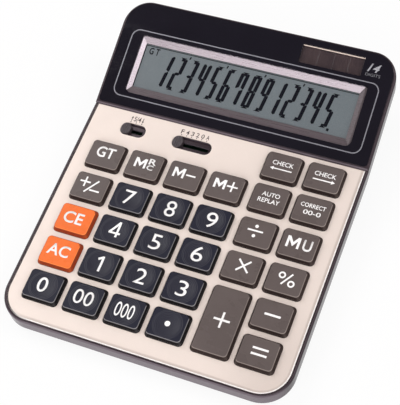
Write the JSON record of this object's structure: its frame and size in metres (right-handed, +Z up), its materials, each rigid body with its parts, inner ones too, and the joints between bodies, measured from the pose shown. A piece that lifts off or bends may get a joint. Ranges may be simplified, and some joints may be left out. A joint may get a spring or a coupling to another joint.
{
  "type": "desktop calculator",
  "caption": "Desktop calculator with a metal plate round sprung keys, a raised tilted display window with a solar cell, slide switches and a sliding battery cover.",
  "frame": {"origin": "middle of the footprint, on the surface the calculator stands on", "axes": "+X to the user's right, +Y from the user towards the display, +Z up; the keypad plane leans up 4 degrees towards +Y and the display plane 19 degrees"},
  "size_m": [0.153, 0.1876, 0.041],
  "materials": {
    "case_black": "glossy moulded black-brown ABS",
    "plate": "champagne anodised, fine satin",
    "lens": "clear acrylic printed black on the back, with two clear windows",
    "bezel": "satin metallised plastic",
    "lcd_glass": "grey-green reflective liquid-crystal glass",
    "inner_plastic": "plain grey inner moulding",
    "ribbon": "amber flexible film",
    "solar": "dark brown amorphous cell under glass",
    "wire": "soft insulated wire",
    "knob": "grooved dark grey",
    "brass": "thin sprung strip",
    "rubber_sheet": "translucent grey silicone",
    "board": "green solder resist on glass fibre",
    "chip": "black sealing resin",
    "can": "sleeved capacitor",
    "foot_rubber": "matt",
    "battery_jacket": "plain unmarked jacket",
    "steel": "nickel-plated spring steel",
    "screw_steel": "zinc-plated",
    "key_taupe": "dark taupe, smooth",
    "key_navy": "blue-black, dished",
    "key_orange": "orange, smooth"
  },
  "bodies": {
    "calculator": {"keypad_case": "case_black", "display_case": "case_black", "bottom_case": "case_black", "faceplate": "plate", "display_lens": "lens", "display_frame": "bezel", "lcd_panel": "lcd_glass", "display_holder": "inner_plastic", "display_ribbon": "ribbon", "solar_cell": "solar", "solar_leads": "wire", "keypad_membrane": "rubber_sheet", "main_board": "board", "controller_chip": "chip", "reserve_capacitor": "can", "feet": "foot_rubber", "battery": "battery_jacket", "negative_contact": "steel", "positive_contact": "steel", "battery_spring": "steel", "battery_leads": "wire", "case_screws": "screw_steel", "board_screws": "screw_steel"},
    "key_check_back": {"key_check_back": "key_taupe"},
    "key_check_forward": {"key_check_forward": "key_taupe"},
    "key_gt": {"key_gt": "key_taupe"},
    "key_mrc": {"key_mrc": "key_taupe"},
    "key_m_minus": {"key_m_minus": "key_taupe"},
    "key_m_plus": {"key_m_plus": "key_taupe"},
    "key_auto_replay": {"key_auto_replay": "key_taupe"},
    "key_correct": {"key_correct": "key_taupe"},
    "key_sign": {"key_sign": "key_taupe"},
    "key_7": {"key_7": "key_navy"},
    "key_8": {"key_8": "key_navy"},
    "key_9": {"key_9": "key_navy"},
    "key_divide": {"key_divide": "key_taupe"},
    "key_mu": {"key_mu": "key_taupe"},
    "key_ce": {"key_ce": "key_orange"},
    "key_4": {"key_4": "key_navy"},
    "key_5": {"key_5": "key_navy"},
    "key_6": {"key_6": "key_navy"},
    "key_multiply": {"key_multiply": "key_taupe"},
    "key_percent": {"key_percent": "key_taupe"},
    "key_ac": {"key_ac": "key_orange"},
    "key_1": {"key_1": "key_navy"},
    "key_2": {"key_2": "key_navy"},
    "key_3": {"key_3": "key_navy"},
    "key_plus": {"key_plus": "key_taupe"},
    "key_minus": {"key_minus": "key_taupe"},
    "key_0": {"key_0": "key_navy"},
    "key_00": {"key_00": "key_navy"},
    "key_000": {"key_000": "key_navy"},
    "key_point": {"key_point": "key_navy"},
    "key_equals": {"key_equals": "key_taupe"},
    "rounding_switch": {"rounding_knob": "knob", "rounding_contact": "brass"},
    "decimal_switch": {"decimal_knob": "knob", "decimal_contact": "brass"},
    "battery_door": {"battery_cover": "case_black"}
  },
  "joints": [
    {"name": "key_check_back_press", "type": "slide", "parent": "calculator", "child": "key_check_back", "axis": [0, 0.0698, -0.9976], "range_m": [0, 0.0015], "stiffness_N_per_m": 350, "deforming": ["keypad_membrane"]},
    {"name": "key_check_forward_press", "type": "slide", "parent": "calculator", "child": "key_check_forward", "axis": [0, 0.0698, -0.9976], "range_m": [0, 0.0015], "stiffness_N_per_m": 350, "deforming": ["keypad_membrane"]},
    {"name": "key_gt_press", "type": "slide", "parent": "calculator", "child": "key_gt", "axis": [0, 0.0698, -0.9976], "range_m": [0, 0.0015], "stiffness_N_per_m": 350, "deforming": ["keypad_membrane"]},
    {"name": "key_mrc_press", "type": "slide", "parent": "calculator", "child": "key_mrc", "axis": [0, 0.0698, -0.9976], "range_m": [0, 0.0015], "stiffness_N_per_m": 350, "deforming": ["keypad_membrane"]},
    {"name": "key_m_minus_press", "type": "slide", "parent": "calculator", "child": "key_m_minus", "axis": [0, 0.0698, -0.9976], "range_m": [0, 0.0015], "stiffness_N_per_m": 350, "deforming": ["keypad_membrane"]},
    {"name": "key_m_plus_press", "type": "slide", "parent": "calculator", "child": "key_m_plus", "axis": [0, 0.0698, -0.9976], "range_m": [0, 0.0015], "stiffness_N_per_m": 350, "deforming": ["keypad_membrane"]},
    {"name": "key_auto_replay_press", "type": "slide", "parent": "calculator", "child": "key_auto_replay", "axis": [0, 0.0698, -0.9976], "range_m": [0, 0.0015], "stiffness_N_per_m": 350, "deforming": ["keypad_membrane"]},
    {"name": "key_correct_press", "type": "slide", "parent": "calculator", "child": "key_correct", "axis": [0, 0.0698, -0.9976], "range_m": [0, 0.0015], "stiffness_N_per_m": 350, "deforming": ["keypad_membrane"]},
    {"name": "key_sign_press", "type": "slide", "parent": "calculator", "child": "key_sign", "axis": [0, 0.0698, -0.9976], "range_m": [0, 0.0015], "stiffness_N_per_m": 350, "deforming": ["keypad_membrane"]},
    {"name": "key_7_press", "type": "slide", "parent": "calculator", "child": "key_7", "axis": [0, 0.0698, -0.9976], "range_m": [0, 0.0015], "stiffness_N_per_m": 350, "deforming": ["keypad_membrane"]},
    {"name": "key_8_press", "type": "slide", "parent": "calculator", "child": "key_8", "axis": [0, 0.0698, -0.9976], "range_m": [0, 0.0015], "stiffness_N_per_m": 350, "deforming": ["keypad_membrane"]},
    {"name": "key_9_press", "type": "slide", "parent": "calculator", "child": "key_9", "axis": [0, 0.0698, -0.9976], "range_m": [0, 0.0015], "stiffness_N_per_m": 350, "deforming": ["keypad_membrane"]},
    {"name": "key_divide_press", "type": "slide", "parent": "calculator", "child": "key_divide", "axis": [0, 0.0698, -0.9976], "range_m": [0, 0.0015], "stiffness_N_per_m": 350, "deforming": ["keypad_membrane"]},
    {"name": "key_mu_press", "type": "slide", "parent": "calculator", "child": "key_mu", "axis": [0, 0.0698, -0.9976], "range_m": [0, 0.0015], "stiffness_N_per_m": 350, "deforming": ["keypad_membrane"]},
    {"name": "key_ce_press", "type": "slide", "parent": "calculator", "child": "key_ce", "axis": [0, 0.0698, -0.9976], "range_m": [0, 0.0015], "stiffness_N_per_m": 350, "deforming": ["keypad_membrane"]},
    {"name": "key_4_press", "type": "slide", "parent": "calculator", "child": "key_4", "axis": [0, 0.0698, -0.9976], "range_m": [0, 0.0015], "stiffness_N_per_m": 350, "deforming": ["keypad_membrane"]},
    {"name": "key_5_press", "type": "slide", "parent": "calculator", "child": "key_5", "axis": [0, 0.0698, -0.9976], "range_m": [0, 0.0015], "stiffness_N_per_m": 350, "deforming": ["keypad_membrane"]},
    {"name": "key_6_press", "type": "slide", "parent": "calculator", "child": "key_6", "axis": [0, 0.0698, -0.9976], "range_m": [0, 0.0015], "stiffness_N_per_m": 350, "deforming": ["keypad_membrane"]},
    {"name": "key_multiply_press", "type": "slide", "parent": "calculator", "child": "key_multiply", "axis": [0, 0.0698, -0.9976], "range_m": [0, 0.0015], "stiffness_N_per_m": 350, "deforming": ["keypad_membrane"]},
    {"name": "key_percent_press", "type": "slide", "parent": "calculator", "child": "key_percent", "axis": [0, 0.0698, -0.9976], "range_m": [0, 0.0015], "stiffness_N_per_m": 350, "deforming": ["keypad_membrane"]},
    {"name": "key_ac_press", "type": "slide", "parent": "calculator", "child": "key_ac", "axis": [0, 0.0698, -0.9976], "range_m": [0, 0.0015], "stiffness_N_per_m": 350, "deforming": ["keypad_membrane"]},
    {"name": "key_1_press", "type": "slide", "parent": "calculator", "child": "key_1", "axis": [0, 0.0698, -0.9976], "range_m": [0, 0.0015], "stiffness_N_per_m": 350, "deforming": ["keypad_membrane"]},
    {"name": "key_2_press", "type": "slide", "parent": "calculator", "child": "key_2", "axis": [0, 0.0698, -0.9976], "range_m": [0, 0.0015], "stiffness_N_per_m": 350, "deforming": ["keypad_membrane"]},
    {"name": "key_3_press", "type": "slide", "parent": "calculator", "child": "key_3", "axis": [0, 0.0698, -0.9976], "range_m": [0, 0.0015], "stiffness_N_per_m": 350, "deforming": ["keypad_membrane"]},
    {"name": "key_plus_press", "type": "slide", "parent": "calculator", "child": "key_plus", "axis": [0, 0.0698, -0.9976], "range_m": [0, 0.0015], "stiffness_N_per_m": 350, "deforming": ["keypad_membrane"]},
    {"name": "key_minus_press", "type": "slide", "parent": "calculator", "child": "key_minus", "axis": [0, 0.0698, -0.9976], "range_m": [0, 0.0015], "stiffness_N_per_m": 350, "deforming": ["keypad_membrane"]},
    {"name": "key_0_press", "type": "slide", "parent": "calculator", "child": "key_0", "axis": [0, 0.0698, -0.9976], "range_m": [0, 0.0015], "stiffness_N_per_m": 350, "deforming": ["keypad_membrane"]},
    {"name": "key_00_press", "type": "slide", "parent": "calculator", "child": "key_00", "axis": [0, 0.0698, -0.9976], "range_m": [0, 0.0015], "stiffness_N_per_m": 350, "deforming": ["keypad_membrane"]},
    {"name": "key_000_press", "type": "slide", "parent": "calculator", "child": "key_000", "axis": [0, 0.0698, -0.9976], "range_m": [0, 0.0015], "stiffness_N_per_m": 350, "deforming": ["keypad_membrane"]},
    {"name": "key_point_press", "type": "slide", "parent": "calculator", "child": "key_point", "axis": [0, 0.0698, -0.9976], "range_m": [0, 0.0015], "stiffness_N_per_m": 350, "deforming": ["keypad_membrane"]},
    {"name": "key_equals_press", "type": "slide", "parent": "calculator", "child": "key_equals", "axis": [0, 0.0698, -0.9976], "range_m": [0, 0.0015], "stiffness_N_per_m": 350, "deforming": ["keypad_membrane"]},
    {"name": "rounding_slide", "type": "slide", "parent": "calculator", "child": "rounding_switch", "axis": [1, 0, 0], "range_m": [0, 0.0079]},
    {"name": "decimal_slide", "type": "slide", "parent": "calculator", "child": "decimal_switch", "axis": [1, 0, 0], "range_m": [0, 0.0157]},
    {"name": "battery_cover_slide", "type": "slide", "parent": "calculator", "child": "battery_door", "axis": [0, 1, 0], "range_m": [0, 0.028]}
  ]
}
